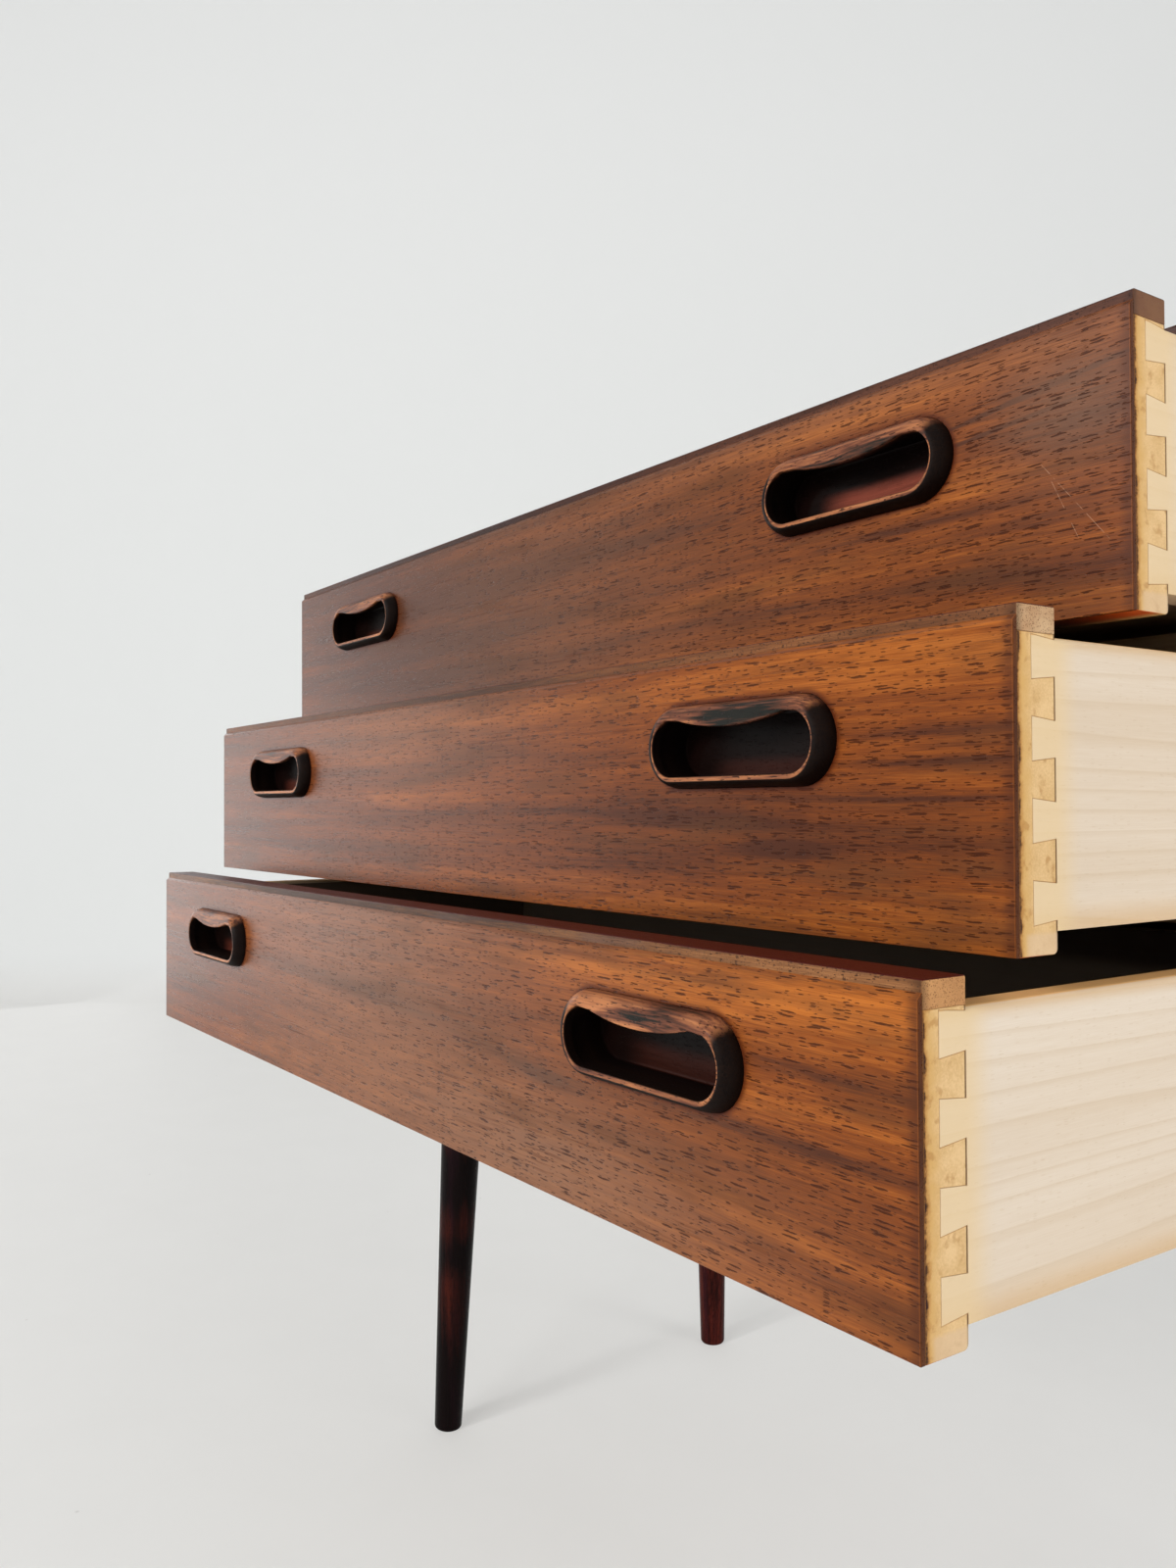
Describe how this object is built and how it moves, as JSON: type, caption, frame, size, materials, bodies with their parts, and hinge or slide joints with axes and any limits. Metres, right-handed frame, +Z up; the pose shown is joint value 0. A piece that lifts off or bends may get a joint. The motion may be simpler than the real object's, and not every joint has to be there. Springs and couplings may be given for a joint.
{
  "type": "chest of drawers",
  "caption": "Low chest of drawers in dark rosewood on round splayed legs, with pale dovetailed drawer boxes that slide out by let-in finger handles.",
  "frame": {"origin": "on the floor, under the middle of the whole chest's box with its drawers open as at rest", "axes": "+Z up, -Y the way the drawers open, +X to the right as seen from the front"},
  "size_m": [0.779, 0.564, 0.7276],
  "materials": {
    "rosewood_facing": "satin oiled veneer, straight grain along the front, dark pores",
    "rosewood_lipping": "satin oiled solid wood",
    "rosewood_handle": "satin oiled solid wood, dark",
    "core_wood": "planed, yellowed with age near the facing",
    "maple": "planed, pale, fine growth lines",
    "drawer_plywood": "plain plywood",
    "rosewood_case": "satin oiled veneer",
    "rosewood_edging": "satin oiled solid wood",
    "back_panel": "matt stained plywood",
    "runner_wood": "planed, waxed by use",
    "rosewood_leg": "satin oiled solid wood, dark",
    "steel": "plain zinc plated steel"
  },
  "bodies": {
    "case": {"back_screws": "steel", "bottom_runner_left": "runner_wood", "bottom_runner_right": "runner_wood", "case_back": "back_panel", "case_bottom": "rosewood_case", "case_side_left": "rosewood_case", "case_side_right": "rosewood_case", "case_top": "rosewood_case", "edging_bottom": "rosewood_edging", "edging_side_left": "rosewood_edging", "edging_side_right": "rosewood_edging", "edging_top": "rosewood_edging", "leg_bolts": "steel", "leg_front_left": "rosewood_leg", "leg_front_right": "rosewood_leg", "leg_plate_front_left": "steel", "leg_plate_front_right": "steel", "leg_plate_rear_left": "steel", "leg_plate_rear_right": "steel", "leg_rear_left": "rosewood_leg", "leg_rear_right": "rosewood_leg", "lower_rail": "runner_wood", "lower_runner_left": "runner_wood", "lower_runner_right": "runner_wood", "plate_screws": "steel", "top_kicker_left": "runner_wood", "top_kicker_right": "runner_wood", "upper_rail": "runner_wood", "upper_runner_left": "runner_wood", "upper_runner_right": "runner_wood"},
    "drawer_top": {"top_back": "maple", "top_bottom": "drawer_plywood", "top_bottom_screws": "steel", "top_front_core": "core_wood", "top_front_facing": "rosewood_facing", "top_front_lipping": "rosewood_lipping", "top_handle_left": "rosewood_handle", "top_handle_right": "rosewood_handle", "top_side_left": "maple", "top_side_right": "maple"},
    "drawer_middle": {"middle_back": "maple", "middle_bottom": "drawer_plywood", "middle_bottom_screws": "steel", "middle_front_core": "core_wood", "middle_front_facing": "rosewood_facing", "middle_front_lipping": "rosewood_lipping", "middle_handle_left": "rosewood_handle", "middle_handle_right": "rosewood_handle", "middle_side_left": "maple", "middle_side_right": "maple"},
    "drawer_bottom": {"bottom_back": "maple", "bottom_bottom": "drawer_plywood", "bottom_bottom_screws": "steel", "bottom_front_core": "core_wood", "bottom_front_facing": "rosewood_facing", "bottom_front_lipping": "rosewood_lipping", "bottom_handle_left": "rosewood_handle", "bottom_handle_right": "rosewood_handle", "bottom_side_left": "maple", "bottom_side_right": "maple"}
  },
  "joints": [
    {"name": "top_drawer_slide", "type": "slide", "parent": "case", "child": "drawer_top", "axis": [0, -1, 0], "range_m": [-0.095, 0.17]},
    {"name": "middle_drawer_slide", "type": "slide", "parent": "case", "child": "drawer_middle", "axis": [0, -1, 0], "range_m": [-0.16, 0.105]},
    {"name": "bottom_drawer_slide", "type": "slide", "parent": "case", "child": "drawer_bottom", "axis": [0, -1, 0], "range_m": [-0.205, 0.06]}
  ]
}
